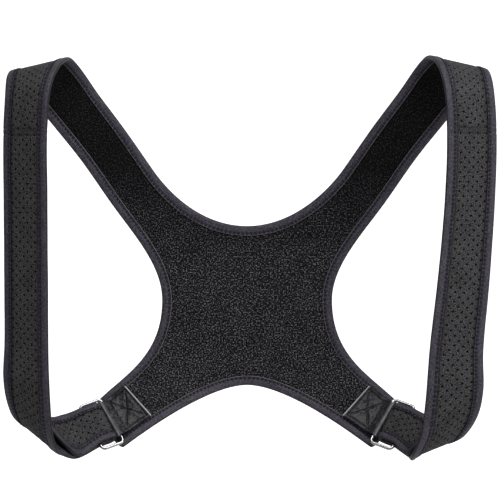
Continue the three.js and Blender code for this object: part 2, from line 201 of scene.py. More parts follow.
backdrop.shade(Base_Color=rgb(0.92), Roughness=0.9, Specular_IOR_Level=0.1)
backdrop.shade(Emission_Color=backdrop.blend(glow, rgb(0), rgb(1)), Emission_Strength=0.9)
sweep.data.materials.append(backdrop.material)

for name, place, width, power in (
    ("key", (1.9, -1.5, 0.5), 1.4, 25),
    ("fill", (-1.7, -1.6, 0.5), 1.8, 6),
    ("top", (0.3, -1.0, 1.9), 1.4, 48),
):
    light = bpy.data.objects.new(name, bpy.data.lights.new(name, "AREA"))
    light.data.size = width
    light.data.energy = power
    light.location = place
    light.rotation_euler = (AIM - Vector(place)).to_track_quat("-Z", "Y").to_euler()
    bpy.context.collection.objects.link(light)
world = bpy.context.scene.world or bpy.data.worlds.new("world")
bpy.context.scene.world = world
world.use_nodes = True
world.node_tree.nodes["Background"].inputs["Color"].default_value = rgb(1)
world.node_tree.nodes["Background"].inputs["Strength"].default_value = 0.15


# Pad shell
# The X-shaped outer sheet of the back pad: perforated foam with a knitted face, cut flat in one piece.
# Its two long arms are bent over the shoulders, and its two short ones come forward round the waist.
HALF_SPAN = 233
HEIGHT = 384
DEPTH = 150
NECK_DROP = 161
WAIST_DROP = 234
ARCH_DROP = 318.5
WAIST_HALF = 84
STRAP_WIDTH = 50
SHELL = 2.2
LINING = 1.1
TAPE = 0.8
BINDING = 8.5
GAP = 0.3
EDGE_SQUEEZE = 0.55
HEM_SQUEEZE = 0.75
PUFF = 6
STITCH_LINE = 6.5
STITCH_CHANNEL = 1.1
SEWN_IN = 0.17
WIRE = 3.2
RING_PITCH = 23.2
RING_STRAP = 42
LEATHER = 1.1
BAR_SETBACK = 3
SIDES = {
    "left": dict(
        sign=-1, rise=0, sink=-0.0104, out=0, lean=0,
        turn=34, foot_turn=34, slope=0, fold=1.14,
    ),
    "right": dict(
        sign=1, rise=0.005, sink=0.0182, out=0.0129, lean=0.0858,
        turn=22, foot_turn=0, slope=-20, fold=0.84,
    ),
}
SECTION_COLUMNS = ("out", "fore", "down", "bearing", "back", "wide", "turn", "foot")
SECTIONS = {
    "arm start": (0.494, 0.08, 0.31, -35, -5, 1.02, 0, 0),
    "arm middle": (0.614, 0.147, 0.203, -36, -7, 1.02, 0, 0),
    "arm high": (0.725, 0.223, 0.113, -36, -10, 1.05, 0, 0),
    "shoulder back": (0.797, 0.287, 0.053, -30, -10, 1.1, 0, 0),
    "shoulder rise": (0.84, 0.4, 0.015, -20, -4, 1.09, 0, 0),
    "crest": (0.86, 0.567, 0.006, -13, 5, 1.07, 0, 0),
    "shoulder fall": (0.876, 0.747, 0.024, -11, 8, 1.05, 0.3, 0),
    "shoulder front": (0.89, 0.85, 0.07, -8, 6, 1.03, 0.75, 0),
    "seam": (0.9, 0.883, 0.17, 0, 0, 1, 1, 0),
    "chest": (0.9, 0.887, 0.32, 0, 0, 1, 1, 0.05),
    "chest low": (0.899, 0.887, 0.52, 0, 0, 1, 1, 0.28),
    "ribs": (0.899, 0.887, 0.7, 5, 0, 1.01, 1, 0.58),
    "turn start": (0.899, 0.88, 0.815, 25, 0, 1.1, 0.8, 0.66),
    "turn front": (0.89, 0.807, 0.888, 32, 14, 1.15, 0.4, 0.76),
    "turn low": (0.868, 0.68, 0.938, 34, 28, 1.1, 0, 0.95),
    "turn back": (0.828, 0.53, 0.954, 42, 38, 1.03, 0, 0.85),
    "side": (0.76, 0.37, 0.96, 53, 34, 0.94, 0, 0.3),
}
LOWER_END = (0.582, 0.2, 0.925, 57, 32, 1.13, 0, 1)
LOWER_WAY = {"upper": (0.68, -0.28, -0.68), "lower": (0.78, -0.3, -0.55)}
HANDLES = dict(
    neck=0.193, neck_end=0.129, waist_up=0.155, arm_up=0.172,
    arch=0.146, arch_end=0.197, waist_down=0.249, arm_down=0.155,
)


def section_ends(row, side):
    s = dict(zip(SECTION_COLUMNS, row))

    def toward_foot(top, foot):
        return top + (foot - top) * s["foot"]

    turned = math.radians(s["back"] + s["turn"] * toward_foot(side["turn"], side["foot_turn"]))
    bearing = math.radians(s["bearing"] + toward_foot(0, side["slope"]))
    centre = Vector((
        side["sign"] * (s["out"] + toward_foot(side["out"], -side["lean"])) * HALF_SPAN,
        (0.5 - s["fore"]) * DEPTH,
        (toward_foot(side["rise"], -side["sink"]) - s["down"]) * HEIGHT,
    ))
    reach = Vector((
        side["sign"] * math.cos(bearing) * math.cos(turned),
        math.sin(turned),
        math.sin(bearing) * math.cos(turned),
    )) * (s["wide"] * STRAP_WIDTH / 2)
    return centre - reach, centre + reach


def flare(start, start_way, start_handle, end, end_way, end_handle):
    a, b = start, start + start_way * start_handle * HALF_SPAN
    c, d = end - end_way * end_handle * HALF_SPAN, end
    return lambda t: (1 - t) ** 3 * a + 3 * (1 - t) ** 2 * t * b + 3 * (1 - t) * t * t * c + t ** 3 * d


def through(points):
    """A centripetal spline through the points, one unit of t for each stretch."""
    ends = [2 * points[0] - points[1], *points, 2 * points[-1] - points[-2]]

    def at(t):
        i = min(max(int(t), 0), len(points) - 2)
        p0, p1, p2, p3 = ends[i:i + 4]
        g0, g1, g2 = (math.sqrt((b - a).length) for a, b in ((p0, p1), (p1, p2), (p2, p3)))
        way1 = ((p1 - p0) / g0 - (p2 - p0) / (g0 + g1) + (p2 - p1) / g1) * g1
        way2 = ((p2 - p1) / g1 - (p3 - p1) / (g1 + g2) + (p3 - p2) / g2) * g1
        w = t - i
        return (
            p1 + way1 * w
            + (3 * (p2 - p1) - 2 * way1 - way2) * w * w
            + (2 * (p1 - p2) + way1 + way2) * w ** 3
        )

    return at


class Strip:
    """A band between an inner and an outer edge curve."""

    def __init__(self, inner, outer, outward):
        self.inner = inner
        self.outer = outer
        self.outward = outward

    def point(self, t, c):
        return self.inner(t).lerp(self.outer(t), c)

    def along(self, t, c):
        return (self.point(t + 1e-3, c) - self.point(max(t - 1e-3, 0), c)).normalized()

    def normal(self, t, c):
        across = self.outer(t) - self.inner(t)
        return (self.along(t, c).cross(across) * self.outward).normalized()

    def width(self, t):
        return (self.outer(t) - self.inner(t)).length

    def advance(self, t, distance):
        step = math.copysign(0.01, distance)
        left = abs(distance)
        here = self.point(t, 0.5)
        while left > 0:
            following = self.point(t + step, 0.5)
            length = (following - here).length
            t += step * min(1, left / length)
            left -= length
            here = following
        return t


NECK = Vector((0, DEPTH / 2, -NECK_DROP))
ARCH = Vector((0, DEPTH / 2, -ARCH_DROP))
UP = Vector((0, 0, 1))
TAB_HEIGHT = LINING + TAPE + 2 * GAP + LEATHER / 2
TAB_BEND = WIRE / 2 + 2 * GAP + LEATHER / 2
BEND = WIRE / 2 + GAP + (SHELL + LINING) * HEM_SQUEEZE / 2 + GAP + TAPE
SEAM = 1 + list(SECTIONS).index("seam")
RING_END = len(SECTIONS) + 1


class Side:
    """One side of the brace: its lower arm, its ring and the strip of its upper arm and strap."""

    def __init__(self, name):
        self.name = name
        self.set = SIDES[name]
        self.sign = self.set["sign"]
        self.waist = Vector((self.sign * WAIST_HALF, DEPTH / 2, -WAIST_DROP))
        self.out = Vector((self.sign, 0, 0))
        self.lower = self.lower_arm()
        self.ring()
        self.strip = self.upper_strip()

    def mirrored(self, way):
        return Vector((self.sign * way[0], way[1], way[2])).normalized()

    def lower_arm(self):
        inner, outer = section_ends(LOWER_END, {**self.set, "sink": 0, "lean": 0, "slope": 0})
        lower, upper = self.mirrored(LOWER_WAY["lower"]), self.mirrored(LOWER_WAY["upper"])
        arch = flare(ARCH, self.out, HANDLES["arch"], inner, lower, HANDLES["arch_end"])
        waist = flare(self.waist, -UP, HANDLES["waist_down"], outer, upper, HANDLES["arm_down"])
        return Strip(arch, waist, -self.sign)

    def ring(self):
        arm = self.lower
        normal = arm.normal(1, 0.5)
        self.bar = (arm.outer(1) - arm.inner(1)).normalized()
        self.near = arm.point(1, 0.5) - arm.along(1, 0.5) * BAR_SETBACK - normal * (TAB_HEIGHT + TAB_BEND)
        inner, outer = section_ends(SECTIONS["side"], self.set)
        pull = inner.lerp(outer, 0.5) - self.near
        self.pull = (pull - self.bar * pull.dot(self.bar)).normalized()
        self.far = self.near + self.pull * RING_PITCH
        self.facing = self.pull.cross(self.bar) * -self.sign

    def upper_strip(self):
        ends = [section_ends(row, self.set) for row in SECTIONS.values()]
        top = self.far + self.facing * BEND
        reach = self.bar * RING_STRAP / 2
        ends.append((top - reach, top + reach))

        def edge(index, start, start_way, start_handle, end_handle):
            points = [end[index] for end in ends]
            path = through(points)
            way = (points[1] - points[0]).normalized()
            root = flare(start, start_way, start_handle, points[0], way, end_handle)
            return lambda t: root(t) if t < 1 else path(t - 1)

        inner = edge(0, NECK, self.out, HANDLES["neck"], HANDLES["neck_end"])
        outer = edge(1, self.waist, UP, HANDLES["waist_up"], HANDLES["arm_up"])
        return Strip(inner, outer, self.sign)


left, right = (Side(name) for name in SIDES)


def span(start, end, steps):
    return [start + (end - start) * i / steps for i in range(steps + 1)]


def third(p, q, from_p, from_q, side):
    """The flat point at two distances from p and q, on one side of the line between them."""
    base = q - p
    along = (from_p ** 2 - from_q ** 2 + base.length_squared) / (2 * base.length)
    aside = math.sqrt(max(from_p ** 2 - along ** 2, 0))
    unit = base.normalized()
    return p + unit * along + Vector((-unit.y, unit.x)) * side * aside


def unrolled(rows, first, second, side):
    """Flat places of the two ends of each row, by the lengths between them."""
    flat = [(first, second)]
    for (a, b), (c, d) in zip(rows, rows[1:]):
        inner = third(flat[-1][0], flat[-1][1], (c - a).length, (c - b).length, side)
        outer = third(inner, flat[-1][1], (d - c).length, (d - b).length, side)
        flat.append((inner, outer))
    return flat


MARGIN = 3
CROSSINGS = 14
TRIM = 3.7
SEAM_LINE = 2.6
FOAM_CHANNEL = 0.3
FOAM_CHANNEL_WIDTH = 1.2
DEEPEST_CHANNEL = 0.8
RIPPLE = 0.35
RIPPLE_LENGTH = 34


class Pattern:
    """A flat cut, and the form that it takes when worn. Flat lengths are in millimetres."""

    def __init__(self):
        self.flat = []
        self.worn = []
        self.normals = []
        self.faces = []
        self.sewn = []

    def band(self, rows, flat_rows):
        """rows give a worn place and a normal for a share of the row, and flat_rows its two flat ends."""
        start = len(self.flat)
        for row, (inner, outer) in zip(rows, flat_rows):
            width = (outer - inner).length
            margin = MARGIN / width
            for c in (-margin, *span(0, 1, CROSSINGS), 1 + margin):
                point, normal = row(c)
                flat = inner.lerp(outer, c)
                self.flat.append(Vector((flat.x, flat.y, 0)))
                self.worn.append(point)
                self.normals.append(normal)
        columns = CROSSINGS + 3
        for i in range(len(rows) - 1):
            for j in range(columns - 1):
                a = start + i * columns + j
                b = a + columns
                self.faces += [(a, b, b + 1), (a, b + 1, a + 1)]

    def patch(self, corners, normal):
        """A flat stretch of the worn form, whose flat places are its own x and z."""
        start = len(self.flat)
        for corner in corners:
            self.flat.append(Vector((corner.x, corner.z, 0)))
            self.worn.append(corner)
            self.normals.append(normal)
        self.faces += [(start, start + 1, start + 2), (start, start + 2, start + 3)]

    def close(self, edges):
        """edges are the flat points of the bound edges."""
        self.tree = BVHTree.FromPolygons(self.flat, self.faces)
        self.edges = KDTree(len(edges))
        for i, point in enumerate(edges):
            self.edges.insert((point.x, point.y, 0), i)
        self.edges.balance()
        a, b, c = self.faces[0]
        worn = (self.worn[b] - self.worn[a]).cross(self.worn[c] - self.worn[a]).dot(self.normals[a])
        flat = (self.flat[b] - self.flat[a]).cross(self.flat[c] - self.flat[a]).z
        self.mirrored = worn * flat < 0
        return self

    def measure(self, outline):
        """The cut's width and length, and its area, in metres."""
        self.size = tuple((max(p[i] for p in outline) - min(p[i] for p in outline)) * MM for i in (0, 1))
        turns = zip(outline, [*outline[1:], outline[0]])
        self.area = abs(sum(a.cross(b) for a, b in turns)) / 2 * MM * MM

    def from_edge(self, x, y):
        return self.edges.find((x, y, 0))[2]

    def holds(self, x, y):
        return self.tree.find_nearest((x, y, 0))[3] < 1e-3

    def keeps(self, x, y):
        return self.from_edge(x, y) >= TRIM and self.holds(x, y)

    def squeeze(self, distance):
        sewn = SEWN_IN * math.exp(-(((distance - STITCH_LINE) / STITCH_CHANNEL) ** 2))
        if distance < BINDING:
            return EDGE_SQUEEZE + (HEM_SQUEEZE - EDGE_SQUEEZE) * distance / BINDING - sewn
        share = min((distance - BINDING) / PUFF, 1)
        return HEM_SQUEEZE + (1 - HEM_SQUEEZE) * share * (2 - share) - sewn

    def channel(self, x, y):
        """How deep the lines of stitches away from the edges press the surface in."""
        spot = Vector((x, y))
        depth = 0
        for start, end, deep, wide in self.sewn:
            _, share = intersect_point_line(spot, start, end)
            nearest = start.lerp(end, min(max(share, 0), 1))
            depth += deep * math.exp(-(((spot - nearest).length / wide) ** 2))
        return min(depth, DEEPEST_CHANNEL)

    def relief(self, x, y):
        return RIPPLE * noise.noise(Vector((x / RIPPLE_LENGTH, y / RIPPLE_LENGTH, 4.1)))

    def worn_place(self, x, y, height):
        spot = Vector((x, y, 0))
        face = self.faces[self.tree.find_nearest(spot)[2]]
        flat = [self.flat[i] for i in face]
        point = barycentric_transform(spot, *flat, *(self.worn[i] for i in face))
        normal = barycentric_transform(spot, *flat, *(self.normals[i] for i in face)).normalized()
        inside = min(max(height, -LINING), SHELL)
        squeeze = self.squeeze(self.from_edge(x, y)) - self.channel(x, y)
        return (point + normal * (inside * squeeze + height - inside + self.relief(x, y))) * MM

    def wear(self, obj):
        """Puts a piece that was made flat into the worn form."""
        for vertex in obj.data.vertices:
            vertex.co = self.worn_place(*vertex.co)
        if self.mirrored:
            obj.data.flip_normals()
        obj.data.update()


def strip_row(strip, t, drawn=1):
    def row(c):
        c = 0.5 + (c - 0.5) * drawn
        return strip.point(t, c), strip.normal(t, c)

    return row


def flat_of(point):
    return Vector((point.x, point.z))


def run_lengths(points, start):
    lengths = [start]
    for a, b in zip(points, points[1:]):
        lengths.append(lengths[-1] + (b - a).length)
    return lengths


def even_cut(rows, half, overrun):
    """A cut of even width through worn rows, and how far each row lies along it."""
    lengths = run_lengths([row(0.5)[0] for row in rows], -overrun)
    pattern = Pattern()
    pattern.band(rows, [(Vector((-half, y)), Vector((half, y))) for y in lengths])
    pattern.length = lengths[-1] - overrun
    return pattern, lengths


def evenly(points, pitch):
    """Points at an even pitch along a line of points, and the line's length."""
    lengths = run_lengths(points, 0)
    count = max(round(lengths[-1] / pitch), 1)
    out = []
    i = 0
    for k in range(count + 1):
        target = lengths[-1] * k / count
        while i < len(points) - 2 and lengths[i + 1] < target:
            i += 1
        share = (target - lengths[i]) / max(lengths[i + 1] - lengths[i], 1e-9)
        out.append(points[i].lerp(points[i + 1], share))
    return out, lengths[-1]


RUN_ON = 5
ARM_END = 3
ARM_TAPER = ((0.33, 0.96), (0.67, 0.9), (1, 0.82))
ARM_TIMES = span(1e-4, 1, 40) + span(1, SEAM, round(12 * (SEAM - 1)))[1:]
LOWER_TIMES = span(1e-4, 1, 60)
OUTLINE = (
    ("arm", "right", "outer", True),
    ("lower", "right", "outer", False),
    ("lower", "right", "inner", True),
    ("lower", "left", "inner", False),
    ("lower", "left", "outer", True),
    ("arm", "left", "outer", False),
    ("arm", "left", "inner", True),
    ("arm", "right", "inner", False),
)


def pad_pattern():
    pattern = Pattern()
    pattern.patch([NECK, left.waist, ARCH, right.waist], Vector((0, 1, 0)))
    pattern.runs = {}
    pattern.cuts = []
    for side in (left, right):
        for strip, start, times, turn, kind in (
            (side.strip, NECK, ARM_TIMES, side.sign, "arm"),
            (side.lower, ARCH, LOWER_TIMES, -side.sign, "lower"),
        ):
            drawn = [1] * len(times)
            if kind == "lower":
                times = times + [strip.advance(1, ARM_END * share) for share, _ in ARM_TAPER]
                drawn += [width for _, width in ARM_TAPER]
            times = [*times, strip.advance(times[-1], RUN_ON)]
            drawn.append(drawn[-1])
            ends = [(strip.inner(t), strip.outer(t)) for t in times]
            flat = unrolled(ends, flat_of(start), flat_of(side.waist), turn)
            pattern.band([strip_row(strip, t, d) for t, d in zip(times, drawn)], flat)
            pattern.runs[kind, side.name, "inner"] = [f[0] for f in flat[:-1]]
            pattern.runs[kind, side.name, "outer"] = [f[1] for f in flat[:-1]]
            middle = flat[-1][0].lerp(flat[-1][1], 0.5) - flat[-2][0].lerp(flat[-2][1], 0.5)
            across = flat[-2][1] - flat[-2][0]
            away = Vector((-across.y, across.x)).normalized()
            away = away if away.dot(middle) > 0 else -away
            pattern.cuts.append((flat[-2][0], away))
            if kind == "arm":
                line = [end - away * SEAM_LINE for end in flat[-2]]
                pattern.sewn.append((*line, FOAM_CHANNEL, FOAM_CHANNEL_WIDTH))
    outline = []
    for kind, name, edge, inwards in OUTLINE:
        run = pattern.runs[kind, name, edge]
        outline += reversed(run) if inwards else run
    pattern.measure(outline)
    # The stated width is the mean of the width over the upper arms and the one over the lower arms.
    reaches = [
        max(abs(p.x) for (run_kind, _, _), run in pattern.runs.items() if run_kind == kind for p in run)
        for kind in ("arm", "lower")
    ]
    pattern.size = (sum(reaches) * MM, pattern.size[1])
    edges = [point for run in pattern.runs.values() for point in evenly(run, 1)[0]]
    return pattern.close(edges)


pad = pad_pattern()


def pick(obj):
    bpy.ops.object.select_all(action="DESELECT")
    bpy.context.view_layer.objects.active = obj
    obj.select_set(True)


def edit_mode(obj):
    pick(obj)
    bpy.ops.object.mode_set(mode="EDIT")
    bpy.ops.mesh.select_mode(type="FACE")


def flat_grid(name, cells, size, centre, angle=0):
    bpy.ops.object.select_all(action="DESELECT")
    bpy.ops.mesh.primitive_grid_add(x_subdivisions=cells[0], y_subdivisions=cells[1], size=1)
    grid = bpy.context.object
    grid.name = name
    grid.scale = (*size, 1)
    grid.rotation_euler = (0, 0, angle)
    grid.location = centre
    bpy.ops.object.transform_apply(location=True, rotation=True, scale=True)
    return grid


def apply_modifier(obj, kind, **settings):
    modifier = obj.modifiers.new(kind.lower(), kind)
    for name, value in settings.items():
        setattr(modifier, name, value)
    pick(obj)
    bpy.ops.object.modifier_apply(modifier=modifier.name)


def flat_uv(obj):
    """The piece's own map is its flat cut, in metres."""
    layer = obj.data.uv_layers.active or obj.data.uv_layers.new(name="cut")
    vertices = obj.data.vertices
    for loop in obj.data.loops:
        place = vertices[loop.vertex_index].co
        layer.data[loop.index].uv = (place.x * MM, place.y * MM)


def mark(obj, name, value):
    """Writes an attribute that the piece's finish reads."""
    layer = obj.data.attributes.new(name, "FLOAT", "POINT")
    for i, vertex in enumerate(obj.data.vertices):
        layer.data[i].value = value(vertex.co)


CUT_REACH = 60


def near_cut(spot, place):
    return (spot - place).length < CUT_REACH


def on_cut(edge, place, away):
    spots = [vertex.co.xy for vertex in edge.verts]
    return all(near_cut(spot, place) and abs((spot - place).dot(away)) < 0.01 for spot in spots)


def cut_sheet(name, pattern, cell, angle, low, high, cuts):
    """A flat sheet of square cells, trimmed to the pattern inside its bound edges, from low to high."""
    turn = Matrix.Rotation(angle, 2)
    back = turn.transposed()
    spots = [back @ Vector((p.x, p.y)) for p in pattern.flat]
    low_x, high_x = min(p.x for p in spots), max(p.x for p in spots)
    low_y, high_y = min(p.y for p in spots), max(p.y for p in spots)
    columns = math.ceil((high_x - low_x) / cell[0])
    rows = math.ceil((high_y - low_y) / cell[1])
    centre = turn @ Vector((low_x + columns * cell[0] / 2, low_y + rows * cell[1] / 2))
    size = (columns * cell[0], rows * cell[1])
    sheet = flat_grid(name, (columns, rows), size, (*centre, low), angle)
    edit_mode(sheet)

    def outside(face):
        x, y, _ = face.calc_center_median()
        return not pattern.keeps(x, y)

    select_where(sheet, "faces", outside)
    bpy.ops.mesh.delete(type="FACE")
    for place, away in cuts:
        select_where(sheet, "faces", lambda face: near_cut(face.calc_center_median().xy, place))
        bpy.ops.mesh.bisect(plane_co=(place.x, place.y, 0), plane_no=(away.x, away.y, 0), clear_outer=True)
    bpy.ops.mesh.select_all(action="SELECT")
    bpy.ops.mesh.extrude_region_move(TRANSFORM_OT_translate={"value": (0, 0, high - low)})
    bpy.ops.mesh.select_mode(type="EDGE")
    select_where(sheet, "edges", lambda edge: any(on_cut(edge, place, away) for place, away in cuts))
    bpy.ops.transform.edge_crease(value=1)
    bpy.ops.mesh.select_mode(type="FACE")
    return sheet, (low_x, low_y, back)


HOLE = 2.0
PIT = 1.5


def perforate(sheet, corner, cell):
    """Sinks a hole into every other cell of the sheet's face, as on a chequer board."""
    low_x, low_y, back = corner
    full = cell[0] * cell[1]

    def holed(face):
        if face.normal.z < 0.9 or face.calc_area() < 0.95 * full:
            return False
        spot = back @ face.calc_center_median().xy
        return (int((spot.x - low_x) / cell[0]) + int((spot.y - low_y) / cell[1])) % 2 == 0

    bpy.ops.mesh.normals_make_consistent(inside=False)
    select_where(sheet, "faces", holed)
    bpy.ops.mesh.inset(thickness=(cell[0] - HOLE) / 2, depth=0, use_individual=True)
    bpy.ops.mesh.extrude_region_move(TRANSFORM_OT_translate={"value": (0, 0, -PIT)})
    bpy.ops.mesh.select_all(action="SELECT")
    bpy.ops.mesh.normals_make_consistent(inside=False)


PIT_START = 0.2
PIT_FADE = 0.35
TAPE_SHADOW = 1.6


def finish_sheet(sheet, pattern):
    bpy.ops.object.mode_set(mode="OBJECT")
    apply_modifier(sheet, "SUBSURF", levels=1, render_levels=1)
    flat_uv(sheet)

    # Painted shadow on the foam where it meets the tapes.
    def beside_tape(p):
        inside = pattern.from_edge(p.x, p.y) - BINDING
        return math.exp(-((max(inside, 0) / TAPE_SHADOW) ** 2))

    # Painted shade mask: the walls and bottoms of the holes.
    mark(sheet, "pit", lambda p: min(max((SHELL - PIT_START - p.z) / PIT_FADE, 0), 1))
    mark(sheet, "beside_tape", beside_tape)
    # Painted shade mask: the channels pressed in by the lines of stitches.
    mark(sheet, "sewn", lambda p: pattern.channel(p.x, p.y) / FOAM_CHANNEL)
    pattern.wear(sheet)
    bpy.ops.object.shade_smooth()


PAD_CELL = (4.5, 4.5)
pad_foam, corner = cut_sheet("pad_foam", pad, PAD_CELL, math.radians(45), GAP / 2, SHELL, pad.cuts)
perforate(pad_foam, corner, PAD_CELL)
finish_sheet(pad_foam, pad)


KNIT_GREY = 0.04


def knit_finish():
    finish = Finish("knitted_foam")
    place = finish.cut_map()
    fine = finish.noise(place, 900.0, 2.0)
    broad = finish.noise(place, 60.0, 3.0)
    pit = finish.marked("pit")
    light = (fine - 0.5) * 5 + (broad - 0.5) * 0.7 + 0.5
    light = light.at_least(0).at_most(1)
    beside = finish.marked("beside_tape")
    sewn = finish.marked("sewn")
    colour = finish.blend(light, rgb(KNIT_GREY * 0.2), rgb(KNIT_GREY * 1.95, (1, 0.98, 1.04)))
    # Painted shade: the foam darkens beside the tapes and in the stitch channels.
    colour = finish.blend((beside * 0.8).at_least(sewn * 0.3), colour, rgb(KNIT_GREY * 0.15))
    # Painted shade: the pits of the holes are near-black.
    colour = finish.blend(pit, colour, rgb(0.001))
    finish.shade(Base_Color=colour, Roughness=0.88, Specular_IOR_Level=0.15)
    finish.bump(fine, 0.5, 0.0004)
    return finish.material


def dress(piece, material, slot, *nodes):
    """Gives a piece its finish and its body, and hides the CAD nodes that it stands for. The slot is not
    used.
    """
    piece.data.materials.clear()
    piece.data.materials.append(material)
    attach(piece, "root")
    if nodes:
        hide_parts(*nodes)


knit = knit_finish()
dress(pad_foam, knit, "shell", "pad_shell")


# Pad lining
# A brushed loop cloth glued to the inner side of the foam, which lies on the wearer's back.
# It is cut to the same outline, and the binding holds both together round the edge.
pad_fleece, _ = cut_sheet("pad_fleece", pad, (4.5, 4.5), 0, -LINING, -GAP / 2, pad.cuts)
finish_sheet(pad_fleece, pad)


# Where the painted shade on the lining begins, and the height over which it deepens.
PAINTED_SHADE_FROM = -0.2
PAINTED_SHADE_OVER = 0.1


def fleece_finish():
    """Darker towards the shoulders: painted shade, as the lining up the arms lies in shade."""
    finish = Finish("brushed_fleece")
    place = finish.cut_map()
    loops = finish.noise(place, 700.0, 2.0)
    fibres = finish.noise(place, 2600.0, 2.0)
    pile = finish.noise(place, 45.0, 2.0)
    glint = ((loops - 0.46) * 5 + (pile - 0.5) * 0.35).at_least(0).at_most(1)
    colour = finish.blend(glint * glint, rgb(0.004), rgb(0.15, (1, 0.98, 1.12)))
    height = finish.node("ShaderNodeSeparateXYZ", values={"Vector": finish.own_place()}, output=2)
    # Painted shade: the lining darkens with height towards the shoulders.
    upper_shade = ((height - PAINTED_SHADE_FROM) / PAINTED_SHADE_OVER).at_least(0).at_most(1)
    colour = finish.blend(upper_shade * 0.82, colour, rgb(0.002))
    finish.shade(Base_Color=colour, Roughness=0.95, Specular_IOR_Level=0.08)
    finish.bump(loops * 0.7 + fibres * 0.3, 0.9, 0.0009)
    return finish.material


fleece = fleece_finish()
dress(pad_fleece, fleece, "lining", "pad_lining")


# Straps
# Each strap is the same foam and lining in a straight 50 mm band, sewn to the end of the upper arm.
# It hangs down the chest, passes under the arm, goes round the ring's bar and is folded back on itself.
LOOP = 12.4
SETTLE = 22
TIP_ROUND = 20
TIP_LIFT = 2.5
STRAP_OVERRUN = 4
TURN_MARGIN = 0.01
LOOP_SEAM_SETBACK = 6
FLAT_LIFT = 2 * (LINING * HEM_SQUEEZE + GAP + TAPE) + GAP
STRAP_CELL = (4.5, 4.6)


def strap_pattern(side):
    strip = side.strip
    fold = side.set["fold"] * STRAP_WIDTH
    before = strip.advance(SEAM, -STRAP_OVERRUN)
    turn_start = RING_END - TURN_MARGIN
    times = [*span(before, SEAM, 2), *span(SEAM, turn_start, 130)[1:]]
    rows = [strip_row(strip, t) for t in times]

    def ring_row(angle):
        normal = side.facing * math.cos(angle) - side.pull * math.sin(angle)
        middle = side.far - side.pull * LOOP + normal * BEND
        return lambda c: (middle + side.bar * (c - 0.5) * RING_STRAP, normal)

    def back_row(distance):
        t = strip.advance(RING_END, -max(distance, 0.1))
        drawn = RING_STRAP + (STRAP_WIDTH - RING_STRAP) * min(1, distance / SETTLE)
        width = strip.width(t)
        settling = (2 * BEND - FLAT_LIFT) * max(0, 1 - distance / SETTLE) ** 2
        lift = FLAT_LIFT + settling + TIP_LIFT * (distance / fold) ** 2

        def row(c):
            c = 0.5 + (c - 0.5) * drawn / width
            normal = -strip.normal(t, c)
            return strip.point(t, c) + normal * lift, normal

        return row

    rows += [ring_row(angle) for angle in span(0, math.pi, 14)]
    turned = len(rows) - 1
    rows += [back_row(distance) for distance in span(0, fold + STRAP_OVERRUN, 36)]
    half = STRAP_WIDTH / 2
    pattern, lengths = even_cut(rows, half, STRAP_OVERRUN)
    corner = half - TIP_ROUND
    tip = [
        Vector((corner + TIP_ROUND * math.sin(a), pattern.length - TIP_ROUND + TIP_ROUND * math.cos(a)))
        for a in span(math.pi / 2, 0, 12)
    ]
    outer = [Vector((half, 0)), *tip]
    inner = [Vector((-p.x, p.y)) for p in reversed(outer)]
    pattern.outline = outer + inner
    pattern.measure(pattern.outline)
    pattern.loop_seam = lengths[turned] + LOOP - LOOP_SEAM_SETBACK
    for y in (SEAM_LINE, pattern.loop_seam):
        pattern.sewn.append((Vector((-half, y)), Vector((half, y)), FOAM_CHANNEL, FOAM_CHANNEL_WIDTH))
    return pattern.close(evenly(pattern.outline, 1)[0])


def in_strap(pattern, x, y):
    out_x = max(abs(x) - (STRAP_WIDTH / 2 - TIP_ROUND), 0)
    out_y = max(y - (pattern.length - TIP_ROUND), 0)
    return math.hypot(out_x, out_y) < TIP_ROUND - TRIM and y > -STRAP_OVERRUN


bands = {}
for side in (left, right):
    band = strap_pattern(side)
    band.keeps = lambda x, y, band=band: in_strap(band, x, y)
    bands[side.name] = band
    start = [(Vector((0, 0)), Vector((0, -1)))]
    foam, corner = cut_sheet(f"strap_foam_{side.name}", band, STRAP_CELL, 0, GAP / 2, SHELL, start)
    perforate(foam, corner, STRAP_CELL)
    finish_sheet(foam, band)
    dress(foam, knit, "shell", f"strap_{side.name}")
    back, _ = cut_sheet(f"strap_fleece_{side.name}", band, STRAP_CELL, 0, -LINING, -GAP / 2, start)
    finish_sheet(back, band)
    dress(back, fleece, "lining", f"strap_{side.name}")


# Bindings
# Woven tape, folded over every edge of the pad and straps and sewn through with one line of thread.
# The foam is pressed thin under it, and it puckers a little at every stitch.
STEP = 4 / 3
TAPE_PROFILE = (
    (8.5, -0.15),
    (8.3, 0.1),
    (7.5, 0.08),
    (6.9, -0.1),
    (6.5, -0.2),
    (6.1, -0.1),
    (5.2, 0.12),
    (3.4, 0.2),
    (1.6, 0.1),
    (0.2, -0.12),
    (-0.75, -0.85),
)
TAPE_EDGE = (-1.1, 0.55)
STITCH_PITCH = 4
PUCKER = 0.3
PUCKER_WIDTH = 1.8


class Trail:
    """A bound edge as an even line of flat points, with the way inwards."""

    def __init__(self, points, inward):
        self.points, self.length = evenly(points, STEP)
        self.step = self.length / (len(self.points) - 1)
        ends = [self.points[0], *self.points, self.points[-1]]
        ways = [(b - a).normalized() for a, b in zip(ends, ends[2:])]
        self.ways = [Vector((-way.y, way.x)) * inward for way in ways]
        self.stitches = round(self.length / STITCH_PITCH)
        self.pitch = self.length / self.stitches

    def spot(self, along, inwards):
        place = min(max(along / self.step, 0), len(self.points) - 1.001)
        i = int(place)
        point = self.points[i].lerp(self.points[i + 1], place - i)
        return point + self.ways[i].lerp(self.ways[i + 1], place - i) * inwards


def tape_profile():
    top = SHELL + GAP + TAPE
    low = LINING + GAP + TAPE
    upper = [(q, top + h) for q, h in TAPE_PROFILE]
    lower = [(q, -low - h) for q, h in reversed(TAPE_PROFILE)]
    return upper + [TAPE_EDGE] + lower


PROFILE = tape_profile()


